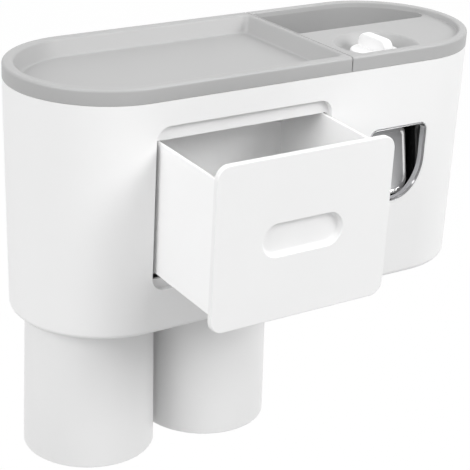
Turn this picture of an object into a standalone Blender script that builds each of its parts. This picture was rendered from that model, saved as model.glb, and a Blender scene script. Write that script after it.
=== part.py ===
"""Wall-hung toothpaste dispenser with a tray, a drawer, a push-plate squeezer and two hanging cups.

Run with blender --background --python part.py. Lengths are in metres, +Z is up, the front faces -Y.
The origin is the centre of the adhesive pad's rear face, which lies on the wall.
Shapes are written in the housing's own frame, whose origin is the middle of its rim, and placed from there.
"""

import math

import bmesh
import bpy
from mathutils import Vector
from mathutils.geometry import interpolate_bezier

MM = 0.001
GAP = 0.3 * MM

# Housing and rim
LENGTH = 270 * MM
DEPTH = 99.4 * MM
END_R = DEPTH / 2
HALF_STRAIGHT = LENGTH / 2 - END_R
BAND_H = 7.8 * MM
RIM_W = 5.5 * MM
HOUSING_TOP = -BAND_H - GAP
HOUSING_BOTTOM = -130.4 * MM
WALL = 2.2 * MM
FLOOR = 2.4 * MM
FOOT_R = 3 * MM
DRAFT = 0.016
ARC_STEPS = 24

# Wall plate, whose middle is the origin, and the two hooks the housing hangs on
PAD_T = 0.8 * MM
PLATE_SIZE = (72 * MM, 62 * MM)
PLATE_FRONT = 3.0 * MM
RIM_TO_ORIGIN = 52 * MM
HOUSING_MIDDLE = Vector((0, -(PLATE_FRONT + GAP + END_R), RIM_TO_ORIGIN))
HOOK_X = 22 * MM
HOOK_W = 12 * MM
HOOK_T = 3 * MM
HOOK_LIP = 5 * MM
HOOK_TOP = -38 * MM
HOOK_REACH = 5.4 * MM
HANG_LIFT = 6 * MM

# Split between the tray and the deck
SPLIT_X = 31.5 * MM
TRAY_FLOOR = -9.3 * MM
DECK_Z = -3 * MM
SKIRT_BOTTOM = -13.3 * MM
INLET = Vector((66 * MM, -24.4 * MM, 0))
DISH_R = 23.6 * MM
DISH_FLOOR = -9.8 * MM
POCKET_BOTTOM = -62 * MM

# Drawer, shown pulled part of the way out along rails that dip towards the front
SLOPE = math.radians(2.4)
DRAWER_OUT = 52.2 * MM
DRAWER_X = -31.4 * MM
PANEL_W = 102.6 * MM
PANEL_TOP = -21.4 * MM
PANEL_BOTTOM = -106.4 * MM
PANEL_T = 3 * MM
PANEL_R = 7 * MM
RECESS_GAP = 0.5 * MM
BOX_W = 99 * MM
BOX_WALL = 1.5 * MM
BOX_LENGTH = 88 * MM
BOX_TOP = -28.9 * MM
BOX_H = 69 * MM
STOP_LUG_Y = 67 * MM
RAIL_Y = (-41.5 * MM, 43 * MM)
WEB_X = 38 * MM
CRADLE_SCREW_X = 45 * MM
CRADLE_SCREW_Y = 26 * MM
CRADLE_FOOT_EDGE = 51 * MM

SCOOP_X = -32 * MM
SCOOP_Z = -64.1 * MM
SCOOP_HALF_L = 23.3 * MM
SCOOP_HALF_H = 8.6 * MM
SCOOP_DEPTH = 4.6 * MM
SCOOP_BACK = 6.2 * MM
SCOOP_WALL = 0.8 * MM

# Squeezer
WINDOW_X = 66.4 * MM
WINDOW_W = 38 * MM
WINDOW_TOP = -42.3 * MM
WINDOW_BOTTOM = -84.8 * MM
WINDOW_CORNER = 4.5 * MM
WINDOW_STRAIGHT = -62 * MM
TUNNEL_DEPTH = 13.5 * MM
CAVITY_HALF = 19.6 * MM
CAVITY_TOP = -41.7 * MM
CAVITY_BOTTOM = -87.6 * MM
PLATE_HALF = 16.2 * MM
PLATE_TOP = -49 * MM
PLATE_BOTTOM = -84.6 * MM
PLATE_Y = -37.9 * MM
PLATE_LEAN = 0.18
PIVOT = Vector((WINDOW_X, -33 * MM, -46 * MM))
PUMP_Z = -70 * MM
PUMP_R = 10.7 * MM
PUMP_BORE = 9.2 * MM
PUMP_FRONT = -24 * MM
PUMP_BACK = -0.3 * MM
PIN_R = 1.5 * MM
CHEEK_X = (43.2 * MM, 45.2 * MM, 87.6 * MM, 89.6 * MM)
CHEEK_FRONT = -43.6 * MM
CHEEK_BACK = 2 * MM
CHEEK_TOP = -30 * MM
SQUEEZER_FOOT_FRONT = -30 * MM
SQUEEZER_FOOT_W = 12 * MM
SQUEEZER_SCREW_X = 7 * MM
SQUEEZER_SCREW_Y = (-24 * MM, -5 * MM)

# Cups, which hang by magnets with their mouths down
CUP_X = {"left": -92.3 * MM, "right": -21.0 * MM}
CUP_BASE = HOUSING_BOTTOM - GAP
CUP_MOUTH = -208.9 * MM
CUP_BASE_R = 33.5 * MM
CUP_MOUTH_R = 34.8 * MM
CUP_WALL = 1.6 * MM
MAGNET_R = 7.7 * MM
BOSS_TOP = -122 * MM
SCREW_R = 1.2 * MM

WHITE = ((0.86, 0.86, 0.86), 0.32, 0.0)
WHITE_SATIN = ((0.84, 0.84, 0.84), 0.42, 0.0)
GREY = ((0.50, 0.50, 0.50), 0.45, 0.0)
CHROME = ((0.80, 0.80, 0.82), 0.08, 1.0)
STEEL = ((0.62, 0.62, 0.64), 0.28, 1.0)
DARK = ((0.03, 0.03, 0.032), 0.25, 0.0)
RUBBER = ((0.24, 0.24, 0.25), 0.7, 0.0)
SILICONE = ((0.72, 0.74, 0.76), 0.45, 0.0)
FOAM = ((0.70, 0.72, 0.72), 0.8, 0.0)


def clear_scene():
    for obj in list(bpy.data.objects):
        bpy.data.objects.remove(obj, do_unlink=True)


def set_material(obj, look):
    colour, roughness, metallic = look
    material = bpy.data.materials.new(obj.name)
    material.use_nodes = True
    shader = material.node_tree.nodes["Principled BSDF"]
    shader.inputs["Base Color"].default_value = (*colour, 1)
    shader.inputs["Roughness"].default_value = roughness
    shader.inputs["Metallic"].default_value = metallic
    obj.data.materials.append(material)


def add_object(name, bm, look, origin=None):
    """An object whose mesh is in the housing's frame, with its own origin at the point given there."""
    origin = Vector(origin) if origin else Vector((0, 0, 0))
    bmesh.ops.translate(bm, verts=bm.verts, vec=-origin)
    bmesh.ops.recalc_face_normals(bm, faces=bm.faces)
    mesh = bpy.data.meshes.new(name)
    bm.to_mesh(mesh)
    bm.free()
    mesh.shade_smooth()
    mesh.set_sharp_from_angle(angle=math.radians(35))
    obj = bpy.data.objects.new(name, mesh)
    obj.location = HOUSING_MIDDLE + origin
    bpy.context.collection.objects.link(obj)
    if look:
        set_material(obj, look)
    return obj


def loft(bm, rings, closed=False):
    """Skin over rings with equally many points. Open lofts are capped at both ends."""
    made = [[bm.verts.new(point) for point in ring] for ring in rings]
    pairs = list(zip(made, made[1:]))
    if closed:
        pairs.append((made[-1], made[0]))
    for low, high in pairs:
        count = len(low)
        for i in range(count):
            j = (i + 1) % count
            bm.faces.new((low[i], low[j], high[j], high[i]))
    if not closed:
        bm.faces.new(made[0])
        bm.faces.new(made[-1])
    return bm


def combine(target, helper, operation):
    """Boolean with a helper object, which is then left out of renders."""
    modifier = target.modifiers.new(operation.lower(), "BOOLEAN")
    modifier.operation = operation
    modifier.solver = "EXACT"
    modifier.object = helper
    helper.hide_render = True
    helper.display_type = "WIRE"


def cut(target, *cutters):
    for cutter in cutters:
        combine(target, cutter, "DIFFERENCE")


def join(target, *extras):
    for extra in extras:
        combine(target, extra, "UNION")


def arc(cx, cy, radius, start, end, steps):
    """Points on an arc, with angles in degrees."""
    angles = [math.radians(start + (end - start) * i / steps) for i in range(steps + 1)]
    return [(cx + radius * math.cos(a), cy + radius * math.sin(a)) for a in angles]


def rounded_rectangle(x0, x1, y0, y1, radius, steps=4):
    corners = ((x1, y1, -1, -1, 0), (x0, y1, 1, -1, 90), (x0, y0, 1, 1, 180), (x1, y0, -1, 1, 270))
    points = []
    for x, y, sx, sy, angle in corners:
        points += arc(x + sx * radius, y + sy * radius, radius, angle, angle + 90, steps)
    return points


def stadium(radius):
    """The housing's plan, for an end radius that may be inset from END_R."""
    right = arc(HALF_STRAIGHT, 0, radius, -90, 90, ARC_STEPS)
    left = arc(-HALF_STRAIGHT, 0, radius, 90, 270, ARC_STEPS)
    return right + left


def half_plan(radius, flat_x, corner, side):
    """The plan of the tray (side -1) or the deck (side 1): one round end and one flat end with corners."""
    end = arc(side * HALF_STRAIGHT, 0, radius, -90, 90, ARC_STEPS)
    if side < 0:
        end = [(-2 * HALF_STRAIGHT - x, -y) for x, y in end]
    lean = -side
    top = arc(flat_x - lean * corner, radius - corner, corner, 90, 90 - lean * 90, 4)
    bottom = arc(flat_x - lean * corner, -radius + corner, corner, 90 - lean * 90, 90 - lean * 180, 4)
    if side > 0:
        return end + top + bottom
    return end + [(x, y) for x, y in bottom[::-1]] + top[::-1]


def at_height(outline, z):
    return [(x, y, z) for x, y in outline]


def wall_y(z):
    """The front wall's outer face, which leans in towards the bottom."""
    return -END_R + DRAFT * (HOUSING_TOP - z)


def at_depth(outline, depth):
    """An outline of x and z set back from the front wall's face, following its lean."""
    return [(x, wall_y(z) + depth, z) for x, z in outline]


def box(name, x, y, z, look=None):
    """A box between pairs of x, y and z."""
    bm = bmesh.new()
    base = [(x[0], y[0]), (x[1], y[0]), (x[1], y[1]), (x[0], y[1])]
    loft(bm, [at_height(base, z[0]), at_height(base, z[1])])
    return add_object(name, bm, look)


def side_prism(name, outline, x, look=None):
    """An outline of y and z carried from one x to another."""
    bm = bmesh.new()
    loft(bm, [[(x[0], *point) for point in outline], [(x[1], *point) for point in outline]])
    return add_object(name, bm, look)


def turned(name, profile, centre, look=None, axis="Z", steps=24, origin=None, closed=False):
    """A profile of radius and position, turned about an axis through the centre.

    It runs from cap to cap, or closes on itself for a ring with a bore.
    """
    bm = bmesh.new()
    rings = []
    for radius, along in profile:
        circle = arc(0, 0, radius, 0, 360 - 360 / steps, steps - 1)
        if axis == "Z":
            ring = [(centre[0] + u, centre[1] + v, along) for u, v in circle]
        elif axis == "Y":
            ring = [(centre[0] + u, along, centre[1] + v) for u, v in circle]
        else:
            ring = [(along, centre[0] + u, centre[1] + v) for u, v in circle]
        rings.append(ring)
    loft(bm, rings, closed)
    return add_object(name, bm, look, origin)


def tube(name, points, radius, look):
    """A round tube with flat ends along a smooth curve through the points."""
    curve = bpy.data.curves.new(name, "CURVE")
    curve.dimensions = "3D"
    curve.bevel_depth = radius
    curve.bevel_resolution = 2
    curve.use_fill_caps = True
    spline = curve.splines.new("POLY")
    spline.points.add(len(points) - 1)
    for target, point in zip(spline.points, points):
        target.co = (*point, 1)
    obj = bpy.data.objects.new(name, curve)
    obj.location = HOUSING_MIDDLE
    bpy.context.collection.objects.link(obj)
    set_material(obj, look)
    return obj


def smooth_route(knots, steps):
    """A curve through the knots, with handles along the line between each knot's neighbours."""
    knots = [Vector(knot) for knot in knots]
    ends = [knots[0] * 2 - knots[1]] + knots + [knots[-1] * 2 - knots[-2]]
    route = []
    for i in range(1, len(ends) - 2):
        out = ends[i] + (ends[i + 1] - ends[i - 1]) / 6
        back = ends[i + 1] - (ends[i + 2] - ends[i]) / 6
        route += interpolate_bezier(ends[i], out, back, ends[i + 1], steps)[:-1]
    return route + [knots[-1]]


# Wall plate


def make_wall_mount():
    wall = PLATE_FRONT + GAP + END_R
    half_w, half_h = PLATE_SIZE[0] / 2, PLATE_SIZE[1] / 2
    border = 2 * MM
    middle = -RIM_TO_ORIGIN

    def plate(name, inset, near, far, look):
        sides = (-half_w + inset, half_w - inset, middle - half_h + inset, middle + half_h - inset)
        outline = rounded_rectangle(*sides, 6 * MM - inset)
        bm = bmesh.new()
        loft(bm, [[(x, y, z) for x, z in outline] for y in (near, far)])
        return add_object(name, bm, look)

    plate("adhesive_pad", border, wall - PAD_T, wall, FOAM)
    front = wall - PLATE_FRONT
    base = plate("wall_plate", 0, front, wall - PAD_T - GAP, SILICONE)
    overlap = 0.5 * MM
    lip_t = 2 * MM
    for side, sign in (("left", -1), ("right", 1)):
        x = (sign * HOOK_X - HOOK_W / 2, sign * HOOK_X + HOOK_W / 2)
        tip = front - HOOK_REACH
        low, high = HOOK_TOP - HOOK_T, HOOK_TOP + HOOK_LIP
        outline = [(front + overlap, low), (tip, low), (tip, high), (tip + lip_t, high)]
        outline += [(tip + lip_t, HOOK_TOP), (front + overlap, HOOK_TOP)]
        join(base, side_prism("hook_" + side, outline, x))


# Housing


def floor_bosses(points):
    """Round posts with blind screw holes, all in one helper mesh, standing a little way into the floor."""
    bm = bmesh.new()
    outer, hole, steps = 3.4 * MM, SCREW_R + GAP, 10
    bottom, top = HOUSING_BOTTOM + FLOOR / 2, BOSS_TOP
    for x, y in points:
        profile = ((outer, bottom), (outer, top), (hole, top), (hole, bottom + FLOOR))
        rings = [at_height(arc(x, y, r, 0, 360 - 360 / steps, steps - 1), z) for r, z in profile]
        loft(bm, rings)
    return add_object("floor_bosses", bm, None)


def magnet_rings():
    """The rims that hold the magnets over the cups."""
    bm = bmesh.new()
    bottom, top = HOUSING_BOTTOM + FLOOR / 2, HOUSING_BOTTOM + FLOOR + 5 * MM
    inner, outer = MAGNET_R + 2 * GAP, MAGNET_R + 2.6 * MM
    steps = 20
    for x in CUP_X.values():
        profile = ((outer, bottom), (outer, top), (inner, top), (inner, bottom))
        rings = [at_height(arc(x, 0, r, 0, 360 - 360 / steps, steps - 1), z) for r, z in profile]
        loft(bm, rings, closed=True)
    return add_object("magnet_rings", bm, None)


def window_outline(inset):
    """The squeezer's window: rounded corners above and a U below, drawn in by the inset."""
    half = WINDOW_W / 2 - inset
    top = WINDOW_TOP - inset
    corner = max(WINDOW_CORNER - inset, 1 * MM)
    x = WINDOW_X
    points = arc(x + half - corner, top - corner, corner, 0, 90, 4)
    points += arc(x - half + corner, top - corner, corner, 90, 180, 4)
    drop = WINDOW_STRAIGHT - WINDOW_BOTTOM - inset
    steps = 18
    for i in range(steps + 1):
        angle = math.pi * (1 + i / steps)
        points.append((x + half * math.cos(angle), WINDOW_STRAIGHT + drop * math.sin(angle)))
    return points


def front_cutter(name, outline, depths):
    bm = bmesh.new()
    loft(bm, [at_depth(outline, depth) for depth in depths])
    return add_object(name, bm, None)


def make_housing(screw_points):
    rings = []
    bottom_r = END_R - DRAFT * (HOUSING_TOP - HOUSING_BOTTOM)
    inside = HOUSING_BOTTOM + FLOOR
    rings.append(at_height(stadium(bottom_r - WALL - 2 * MM), inside))
    rings.append(at_height(stadium(bottom_r - WALL), inside + 2 * MM))
    rings.append(at_height(stadium(END_R - WALL), HOUSING_TOP))
    rings.append(at_height(stadium(END_R), HOUSING_TOP))
    fillet_steps = 4
    for i in range(fillet_steps + 1):
        angle = math.pi / 2 * i / fillet_steps
        inset = FOOT_R * (1 - math.cos(angle))
        z = HOUSING_BOTTOM + FOOT_R * (1 - math.sin(angle))
        rings.append(at_height(stadium(bottom_r - inset), z))
    bm = bmesh.new()
    loft(bm, rings)
    housing = add_object("housing", bm, WHITE)

    recess_half = PANEL_W / 2 + RECESS_GAP
    recess_x = (DRAWER_X - recess_half, DRAWER_X + recess_half)
    recess = (*recess_x, PANEL_BOTTOM - RECESS_GAP, PANEL_TOP + RECESS_GAP)
    frame_border = 3.6 * MM
    frame_sides = [side + sign * frame_border for side, sign in zip(recess, (-1, 1, -1, 1))]
    ledge = 2 * MM
    frame_depths = (1 * MM, PANEL_T + ledge)
    join(housing, front_cutter("recess_frame", rounded_rectangle(*frame_sides, PANEL_R), frame_depths))
    recess_depths = (-2 * MM, PANEL_T + GAP)
    cut(housing, front_cutter("recess_cutter", rounded_rectangle(*recess, PANEL_R), recess_depths))
    mouth = (recess[0] + 0.7 * MM, recess[1] - 0.7 * MM, -101.5 * MM, -28.5 * MM)
    cut(housing, front_cutter("mouth_cutter", rounded_rectangle(*mouth, 1.5 * MM), (1 * MM, 12 * MM)))
    cut(housing, front_cutter("window_cutter", window_outline(0), (-2 * MM, 4 * MM)))

    slot_drop = HOOK_T + GAP + HANG_LIFT + 0.5 * MM
    for side, sign in (("left", -1), ("right", 1)):
        x = (sign * HOOK_X - HOOK_W / 2 - 2 * GAP, sign * HOOK_X + HOOK_W / 2 + 2 * GAP)
        z = (HOOK_TOP - slot_drop, HOOK_TOP + GAP)
        cut(housing, box("slot_" + side, x, (END_R - 6 * MM, END_R + 2 * MM), z))
    join(housing, floor_bosses(screw_points), magnet_rings())


def make_bumpers():
    z = -118 * MM
    back = -wall_y(z) + GAP
    wall = PLATE_FRONT + GAP + END_R
    reach = wall - 0.4 * MM
    profile = ((6 * MM, back), (6 * MM, reach - 1.2 * MM), (4.8 * MM, reach))
    for side, x in (("left", -78 * MM), ("right", 78 * MM)):
        turned("bumper_" + side, profile, (x, z), RUBBER, axis="Y", steps=16)


# Tray and deck


def make_tray():
    flat = SPLIT_X - 0.15 * MM
    inner_r = END_R - RIM_W
    inner_x = flat - 1.9 * MM
    skirt_r = END_R - WALL - 0.7 * MM
    under = TRAY_FLOOR - 2 * MM
    # end radius, flat end's x, corner radius, height
    sections = (
        (inner_r - 4.4 * MM, inner_x - 4.6 * MM, 3 * MM, TRAY_FLOOR),
        (inner_r - 3.2 * MM, inner_x - 3.4 * MM, 3.4 * MM, TRAY_FLOOR + 0.4 * MM),
        (inner_r - 2.2 * MM, inner_x - 2.2 * MM, 3.6 * MM, TRAY_FLOOR + 1.7 * MM),
        (inner_r, inner_x, 4 * MM, -1.4 * MM),
        (inner_r + 0.4 * MM, inner_x + 0.2 * MM, 3.8 * MM, -0.5 * MM),
        (inner_r + 1.4 * MM, inner_x + 0.5 * MM, 3.4 * MM, 0),
        (END_R - 1.3 * MM, flat - 0.35 * MM, 1.2 * MM, 0),
        (END_R - 0.4 * MM, flat - 0.1 * MM, 0.8 * MM, -0.4 * MM),
        (END_R, flat, 0.6 * MM, -1.3 * MM),
        (END_R, flat, 0.6 * MM, -BAND_H),
        (skirt_r, flat - 0.5 * MM, 0.6 * MM, -BAND_H),
        (skirt_r - 0.5 * MM, flat - 0.5 * MM, 0.6 * MM, SKIRT_BOTTOM),
        (skirt_r - 2 * MM, flat - 2 * MM, 0.6 * MM, SKIRT_BOTTOM),
        (skirt_r - 2 * MM, flat - 2 * MM, 0.6 * MM, under),
    )
    bm = bmesh.new()
    loft(bm, [at_height(half_plan(r, x, corner, -1), z) for r, x, corner, z in sections])
    add_object("tray", bm, GREY)


def pocket_outline(radius, left_x, front_y, fillet):
    """The deep slot behind the deck: a straight front, a round right end and the rim's curve behind."""
    reach = math.sqrt((radius - fillet) ** 2 - (front_y + fillet) ** 2)
    centre_x = HALF_STRAIGHT + reach
    meet = math.degrees(math.atan2(front_y + fillet, reach))
    points = arc(centre_x, front_y + fillet, fillet, -90, meet, 5)
    points += arc(HALF_STRAIGHT, 0, radius, meet, 90, 12)[1:]
    corner = 2 * MM
    points += arc(left_x + corner, radius - corner, corner, 90, 180, 3)
    points += arc(left_x + corner, front_y + corner, corner, 180, 270, 3)
    return points


def dish_ring(radius, front_limit, z, steps=32):
    """A circle round the inlet whose front is cut off by the rim."""
    circle = arc(INLET.x, INLET.y, radius, 0, 360 - 360 / steps, steps - 1)
    return [(x, max(y, front_limit), z) for x, y in circle]


def make_deck():
    flat = SPLIT_X + 0.15 * MM
    inner_r = END_R - 4.7 * MM
    inner_x = flat + 1.15 * MM
    skirt_r = END_R - WALL - 0.7 * MM
    plate_t = 2 * MM
    sections = (
        (inner_r - 0.4 * MM, inner_x + 0.4 * MM, 2 * MM, DECK_Z),
        (inner_r, inner_x, 2.2 * MM, -1.0 * MM),
        (inner_r + 0.5 * MM, inner_x - 0.2 * MM, 2 * MM, -0.4 * MM),
        (inner_r + 1.4 * MM, inner_x - 0.5 * MM, 1.8 * MM, 0),
        (END_R - 1.3 * MM, flat + 0.35 * MM, 1.2 * MM, 0),
        (END_R - 0.4 * MM, flat + 0.1 * MM, 0.8 * MM, -0.4 * MM),
        (END_R, flat, 0.6 * MM, -1.3 * MM),
        (END_R, flat, 0.6 * MM, -BAND_H),
        (skirt_r, flat + 0.5 * MM, 0.6 * MM, -BAND_H),
        (skirt_r - 0.5 * MM, flat + 0.5 * MM, 0.6 * MM, SKIRT_BOTTOM),
        (skirt_r - 2 * MM, flat + 2 * MM, 0.6 * MM, SKIRT_BOTTOM),
        (skirt_r - 2 * MM, flat + 2 * MM, 0.6 * MM, DECK_Z - plate_t),
    )
    bm = bmesh.new()
    loft(bm, [at_height(half_plan(r, x, corner, 1), z) for r, x, corner, z in sections])
    deck = add_object("deck", bm, GREY)

    wall = 1.4 * MM
    front_y = 8.2 * MM
    fillet = 5 * MM
    taper = 1.2 * MM
    top_r = inner_r - 0.2 * MM
    left_x = flat + 1.7 * MM

    def pocket(name, grow, top, bottom):
        bm = bmesh.new()
        rings = []
        for radius, z in ((top_r + grow, top), (top_r + grow - taper, bottom)):
            outline = pocket_outline(radius, left_x - grow, front_y - grow, fillet + grow)
            rings.append(at_height(outline, z))
        loft(bm, rings)
        return add_object(name, bm, None)

    dish_t = 1.8 * MM

    def dish(name, grow, levels, front_limit):
        bm = bmesh.new()
        loft(bm, [dish_ring(radius + grow, front_limit, z) for radius, z in levels])
        return add_object(name, bm, None)

    slope = ((DISH_R, DECK_Z), (DISH_R - 1.6 * MM, DECK_Z - 2 * MM), (DISH_R - 6 * MM, DISH_FLOOR))
    above = ((DISH_R, 2 * MM),)
    shell = (
        (DISH_R, DECK_Z - 0.6 * MM),
        (DISH_R - 1.4 * MM, DECK_Z - 2.4 * MM),
        (DISH_R - 6 * MM, DISH_FLOOR - 2 * MM),
    )
    front_limit = -inner_r + 0.7 * MM
    join(deck, pocket("pocket_shell", wall, DECK_Z - 0.7 * MM, POCKET_BOTTOM - wall))
    join(deck, dish("dish_shell", dish_t, shell, front_limit - 1.3 * MM))
    cut(deck, pocket("pocket_cutter", 0, 2 * MM, POCKET_BOTTOM))
    cut(deck, dish("dish_cutter", 0, above + slope, front_limit))
    hole = ((7.5 * MM, DISH_FLOOR + 1 * MM), (7.5 * MM, DISH_FLOOR - 4 * MM))
    cut(deck, turned("inlet_hole", hole, INLET))


def make_plug():
    """A stopper with a thumb fin, standing in the dish."""
    top = -6.5 * MM
    bottom = DISH_FLOOR + GAP
    r = 13.3 * MM
    stem_r = 6 * MM
    profile = (
        (stem_r - 0.8 * MM, -18 * MM),
        (stem_r, -17.2 * MM),
        (stem_r, bottom),
        (r - 0.8 * MM, bottom),
        (r, bottom + 0.8 * MM),
        (r, top - 1 * MM),
        (r - 1 * MM, top),
    )
    plug = turned("plug", profile, INLET, WHITE, steps=32, origin=INLET)
    half_w, half_l, height = 3 * MM, 12 * MM, 7.2 * MM
    corner = 5 * MM
    bm = bmesh.new()
    low = top - 1 * MM
    high = top + height
    outline = [(INLET.y - half_l, low)]
    outline += arc(INLET.y - half_l + corner, high - corner, corner, 180, 90, 5)
    outline += arc(INLET.y + half_l - corner, high - corner, corner, 90, 0, 5)
    outline.append((INLET.y + half_l, low))
    inner = 0.9
    middle = (low + high) / 2
    widths = ((-half_w, inner), (-half_w * 0.7, 1), (half_w * 0.7, 1), (half_w, inner))
    rings = []
    for offset, scale in widths:
        ring = [
            (INLET.x + offset, INLET.y + (y - INLET.y) * scale, middle + (z - middle) * scale)
            for y, z in outline
        ]
        rings.append(ring)
    loft(bm, rings)
    fin = add_object("fin", bm, None)
    join(plug, fin)


# Drawer


def slide_shift(distance):
    """How the drawer's parts move for a distance pulled out, measured along Y."""
    return Vector((0, -distance, -distance * math.tan(SLOPE)))


def make_drawer_front():
    shift = slide_shift(DRAWER_OUT)
    edges = (DRAWER_X - PANEL_W / 2, DRAWER_X + PANEL_W / 2, PANEL_BOTTOM, PANEL_TOP)

    def panel_ring(inset, depth):
        outline = rounded_rectangle(
            edges[0] + inset, edges[1] - inset, edges[2] + inset, edges[3] - inset, PANEL_R - inset
        )
        return [Vector(point) + shift for point in at_depth(outline, depth)]

    bm = bmesh.new()
    # inset and depth of each level of the panel's rounded edge
    levels = ((1.2 * MM, 0), (0.35 * MM, 0.35 * MM), (0, 1.2 * MM), (0, PANEL_T))
    loft(bm, [panel_ring(inset, depth) for inset, depth in levels])
    origin = Vector((DRAWER_X, wall_y(PANEL_TOP), PANEL_TOP)) + shift
    panel = add_object("drawer_front", bm, WHITE, origin)

    join(panel, scoop_pill("scoop_boss", ((SCOOP_WALL, PANEL_T - 1 * MM), (SCOOP_WALL, SCOOP_BACK)), shift))
    scoop = ((0.4 * MM, -2 * MM), (0, 0.3 * MM), (-0.5 * MM, 2.2 * MM), (-1.6 * MM, SCOOP_DEPTH))
    cut(panel, scoop_pill("finger_scoop", scoop, shift))


def scoop_pill(name, sections, shift):
    """A pill-shaped helper in the panel's plane, from pairs of growth and depth."""
    bm = bmesh.new()
    rings = []
    for grow, depth in sections:
        r = SCOOP_HALF_H + grow
        run = SCOOP_HALF_L - SCOOP_HALF_H
        outline = arc(SCOOP_X + run, SCOOP_Z, r, -90, 90, 8) + arc(SCOOP_X - run, SCOOP_Z, r, 90, 270, 8)
        rings.append([Vector(point) + shift for point in at_depth(outline, depth)])
    loft(bm, rings)
    return add_object(name, bm, None)


def make_drawer_box():
    shift = slide_shift(DRAWER_OUT)
    front = wall_y(BOX_TOP) + PANEL_T + GAP + shift.y
    x0, x1 = DRAWER_X - BOX_W / 2, DRAWER_X + BOX_W / 2
    dip = math.tan(SLOPE)
    top = BOX_TOP + shift.z

    def ring(inset, height):
        """A level of the box, dipping towards the front with the rails. Its front leans with the panel."""
        near = wall_y(height - shift.z) + PANEL_T + GAP + shift.y + inset
        far = front + BOX_LENGTH - inset
        points = rounded_rectangle(x0 + inset, x1 - inset, near, far, max(1.2 * MM - inset, 0.4 * MM), 2)
        return [(x, y, height + (y - front) * dip) for x, y in points]

    bottom = top - BOX_H
    edge = 0.6 * MM
    bm = bmesh.new()
    loft(bm, [
        ring(BOX_WALL, bottom + BOX_WALL),
        ring(BOX_WALL, top),
        ring(0, top),
        ring(0, bottom + edge),
        ring(edge, bottom),
    ])
    origin = Vector((DRAWER_X, front, top))
    drawer = add_object("drawer_box", bm, WHITE_SATIN, origin)
    cut(drawer, scoop_pill("boss_hole", ((SCOOP_WALL + GAP, 1 * MM), (SCOOP_WALL + GAP, 10 * MM)), shift))
    # Lugs on the side walls meet the back of the recess and stop the drawer.
    lug_y = front + STOP_LUG_Y
    for side, x in (("left", (x0, x0 + BOX_WALL)), ("right", (x1 - BOX_WALL, x1))):
        z = top + (lug_y - front) * dip
        lug = box("lug_" + side, x, (lug_y, lug_y + 3 * MM), (z - 2 * MM, z + 2.6 * MM))
        join(drawer, lug)


def cradle_screw_points():
    foot_x = (DRAWER_X - CRADLE_SCREW_X, DRAWER_X + CRADLE_SCREW_X)
    return [(x, y) for x in foot_x for y in (-CRADLE_SCREW_Y, CRADLE_SCREW_Y)]


def make_cradle():
    """The rails under the drawer: a sloping shelf with side lips on two webs with screwed feet."""
    near, far = RAIL_Y
    dip = math.tan(SLOPE)
    front = wall_y(BOX_TOP) + PANEL_T + GAP
    shelf_at_front = BOX_TOP - BOX_H - GAP - (front - near) * dip
    thick = 2 * MM
    x0, x1 = DRAWER_X - BOX_W / 2 - GAP, DRAWER_X + BOX_W / 2 + GAP
    lip_t, lip_h = 1.8 * MM, 8 * MM

    def sloping(name, x, low, high, look=None):
        rise = (far - near) * dip
        outline = [(near, shelf_at_front + low), (far, shelf_at_front + rise + low)]
        outline += [(far, shelf_at_front + rise + high), (near, shelf_at_front + high)]
        return side_prism(name, outline, x, look)

    cradle = sloping("drawer_cradle", (x0 - lip_t, x1 + lip_t), -thick, 0, WHITE_SATIN)
    foot_z = (BOSS_TOP + GAP, BOSS_TOP + GAP + thick)
    web_y = (near + 8 * MM, far - 8 * MM)
    for side, sign, lip in (("left", -1, (x0 - lip_t, x0)), ("right", 1, (x1, x1 + lip_t))):
        join(cradle, sloping("lip_" + side, lip, -thick / 2, lip_h))
        web_x = DRAWER_X + sign * WEB_X
        outline = [(web_y[0], foot_z[0]), (web_y[1], foot_z[0])]
        outline += [(web_y[1], shelf_at_front), (web_y[0], shelf_at_front - thick / 2)]
        join(cradle, side_prism("web_" + side, outline, (web_x - 1 * MM, web_x + 1 * MM)))
        foot_x = sorted((web_x, DRAWER_X + sign * CRADLE_FOOT_EDGE))
        join(cradle, box("foot_" + side, foot_x, web_y, foot_z))
    holes = []
    for i, (x, y) in enumerate(cradle_screw_points()):
        profile = ((SCREW_R + GAP, foot_z[0] - 1 * MM), (SCREW_R + GAP, foot_z[1] + 1 * MM))
        holes.append(turned(f"cradle_hole_{i}", profile, (x, y), steps=10))
    cut(cradle, *holes)
    make_screws("cradle_screw_", cradle_screw_points(), foot_z[1])


def make_screws(prefix, points, seat):
    """Pan-head screws standing on their feet, with plain shanks and a cross-slot's depth left out."""
    head_r, head_h, reach = 2.7 * MM, 1.9 * MM, 7 * MM
    low = seat + GAP
    for number, point in enumerate(points, 1):
        profile = (
            (SCREW_R * 0.5, low - reach),
            (SCREW_R, low - reach + 1 * MM),
            (SCREW_R, low),
            (head_r, low),
            (head_r, low + head_h * 0.5),
            (head_r * 0.7, low + head_h),
        )
        turned(f"{prefix}{number}", profile, point, STEEL, steps=10)


# Squeezer


def window_ring(name, outline, sections, look):
    """A ring round the window, from pairs of the outline's argument and a depth."""
    bm = bmesh.new()
    loft(bm, [at_depth(outline(size), depth) for size, depth in sections], closed=True)
    return add_object(name, bm, look)


def squeezer_outline(half, top, bottom, top_r, low_r):
    """An upright outline about the squeezer's middle, with its own top and bottom corners."""
    steps = 6
    points = arc(WINDOW_X + half - top_r, top - top_r, top_r, 0, 90, steps)
    points += arc(WINDOW_X - half + top_r, top - top_r, top_r, 90, 180, steps)
    points += arc(WINDOW_X - half + low_r, bottom + low_r, low_r, 180, 270, steps)
    points += arc(WINDOW_X + half - low_r, bottom + low_r, low_r, 270, 360, steps)
    return points


def cavity_outline(grow):
    top_r, low_r = 5.1 * MM + grow, 8 * MM + grow
    return squeezer_outline(CAVITY_HALF + grow, CAVITY_TOP + grow, CAVITY_BOTTOM - grow, top_r, low_r)


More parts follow.
